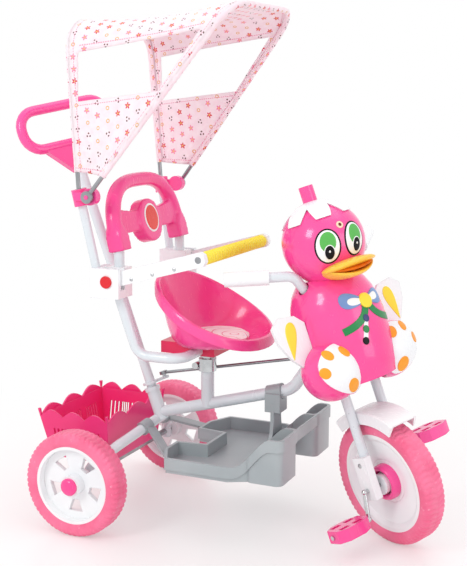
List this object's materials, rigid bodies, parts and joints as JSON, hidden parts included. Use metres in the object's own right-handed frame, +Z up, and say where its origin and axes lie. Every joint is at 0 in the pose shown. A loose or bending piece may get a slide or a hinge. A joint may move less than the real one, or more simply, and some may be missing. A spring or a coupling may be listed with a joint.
{
  "type": "toddler push-along trike",
  "caption": "Toddler trike with a duck figure on the steering, pedal front wheel, rear basket, footrest, bucket seat with guard, folding hood and a push bar linked to the steering",
  "frame": {"origin": "on the ground under the middle of the bounding box", "axes": "+X forward, +Y the rider's left, +Z up"},
  "size_m": [0.8326, 0.46, 0.9564],
  "materials": {
    "frame_paint": "pale grey-blue gloss paint",
    "bright_steel": "plated rod",
    "chrome": "bright plating",
    "pink_plastic": "moulded gloss",
    "white_plastic": "moulded gloss",
    "grey_plastic": "moulded satin",
    "red_plastic": "moulded gloss",
    "orange_plastic": "moulded gloss",
    "yellow_sleeve": "soft ribbed sleeve",
    "foam_tyre": "matt foam tread",
    "pad_cover": "printed soft cover",
    "canopy_cloth": "printed woven cloth"
  },
  "bodies": {
    "frame": {"main_tube": "frame_paint", "head_tube": "frame_paint", "push_socket": "frame_paint", "axle_arch": "frame_paint", "rear_axle": "bright_steel", "seat_post": "frame_paint", "seat_clamp": "chrome", "seat_frame_right": "frame_paint", "seat_frame_left": "frame_paint", "seat_shell": "pink_plastic", "seat_pad": "pad_cover", "seat_bracket": "red_plastic", "joint_block_right": "white_plastic", "joint_block_left": "white_plastic", "upright_right": "frame_paint", "upright_left": "frame_paint", "backrest": "pink_plastic", "canopy_clamp_right": "pink_plastic", "canopy_clamp_left": "pink_plastic", "rear_hoop": "bright_steel", "canopy_fabric": "canopy_cloth", "basket": "pink_plastic", "footrest": "grey_plastic", "footrest_clip": "grey_plastic"},
    "front_fork": {"steering_column": "frame_paint", "fork": "frame_paint", "fork_cover_right": "white_plastic", "fork_cover_left": "white_plastic", "mudguard": "white_plastic", "handlebar": "frame_paint", "grip_right": "white_plastic", "grip_left": "white_plastic", "duck_body": "pink_plastic", "duck_head": "pink_plastic", "duck_bill": "orange_plastic", "duck_cap": "white_plastic", "cap_knob": "pink_plastic", "wing_right": "white_plastic", "wing_left": "white_plastic"},
    "front_wheel": {"front_tyre": "foam_tyre", "front_rim": "white_plastic", "pedal_crank": "chrome"},
    "pedal_r": {"pedal_right": "pink_plastic"},
    "pedal_l": {"pedal_left": "pink_plastic"},
    "rear_wheel_r": {"rear_tyre_right": "foam_tyre", "rear_rim_right": "white_plastic", "hub_cap_right": "pink_plastic"},
    "rear_wheel_l": {"rear_tyre_left": "foam_tyre", "rear_rim_left": "white_plastic", "hub_cap_left": "pink_plastic"},
    "push_bar": {"push_tube": "frame_paint", "push_handle": "pink_plastic"},
    "link_rod": {"steering_rod": "bright_steel"},
    "guard": {"guard_arm_right": "white_plastic", "guard_arm_left": "white_plastic", "guard_bar": "bright_steel", "guard_sleeve": "yellow_sleeve"},
    "hood_front": {"front_hoop": "bright_steel"},
    "release_r": {"button_right": "red_plastic"},
    "release_l": {"button_left": "red_plastic"}
  },
  "joints": [
    {"name": "steer", "type": "hinge", "parent": "frame", "child": "front_fork", "pos_m": [0.30717, 0, 0.11756], "axis": [-0.3387, 0, 0.9409], "range_deg": [-4, 66]},
    {"name": "push_turn", "type": "hinge", "parent": "frame", "child": "push_bar", "pos_m": [-0.15683, 0, 0.188], "axis": [-0.3387, 0, 0.9409], "range_deg": [-4, 66]},
    {"name": "rod_swing", "type": "hinge", "parent": "front_fork", "child": "link_rod", "pos_m": [0.24523, 0.02914, 0.34131], "axis": [-0.3387, 0, 0.9409], "range_deg": [-66, 4]},
    {"name": "front_wheel_spin", "type": "hinge", "parent": "front_fork", "child": "front_wheel", "pos_m": [0.30717, 0, 0.11756], "axis": [0.4846, 0.8572, 0.1745], "continuous": true},
    {"name": "pedal_right_spin", "type": "hinge", "parent": "front_wheel", "child": "pedal_r", "pos_m": [0.2646, -0.10286, 0.05334], "axis": [0.4846, 0.8572, 0.1745], "continuous": true},
    {"name": "pedal_left_spin", "type": "hinge", "parent": "front_wheel", "child": "pedal_l", "pos_m": [0.34974, 0.10286, 0.18178], "axis": [0.4846, 0.8572, 0.1745], "continuous": true},
    {"name": "rear_right_spin", "type": "hinge", "parent": "frame", "child": "rear_wheel_r", "pos_m": [-0.22683, -0.196, 0.0975], "axis": [0, 1, 0], "continuous": true},
    {"name": "rear_left_spin", "type": "hinge", "parent": "frame", "child": "rear_wheel_l", "pos_m": [-0.22683, 0.196, 0.0975], "axis": [0, 1, 0], "continuous": true},
    {"name": "guard_lift", "type": "hinge", "parent": "frame", "child": "guard", "pos_m": [-0.17883, 0, 0.467], "axis": [0, -1, 0], "range_deg": [0, 55]},
    {"name": "hood_fold", "type": "hinge", "parent": "frame", "child": "hood_front", "pos_m": [-0.20123, 0, 0.62], "axis": [0, -1, 0], "range_deg": [0, 36], "deforming": ["canopy_fabric"]},
    {"name": "release_right", "type": "slide", "parent": "frame", "child": "release_r", "axis": [0, 1, 0], "range_m": [0, 0.003], "stiffness_N_per_m": 400, "springref_m": -0.001},
    {"name": "release_left", "type": "slide", "parent": "frame", "child": "release_l", "axis": [0, -1, 0], "range_m": [0, 0.003], "stiffness_N_per_m": 400, "springref_m": -0.001}
  ],
  "couplings": [
    {"joint": "push_turn", "follows": "steer", "ratio": 1},
    {"joint": "rod_swing", "follows": "steer", "ratio": -1}
  ]
}
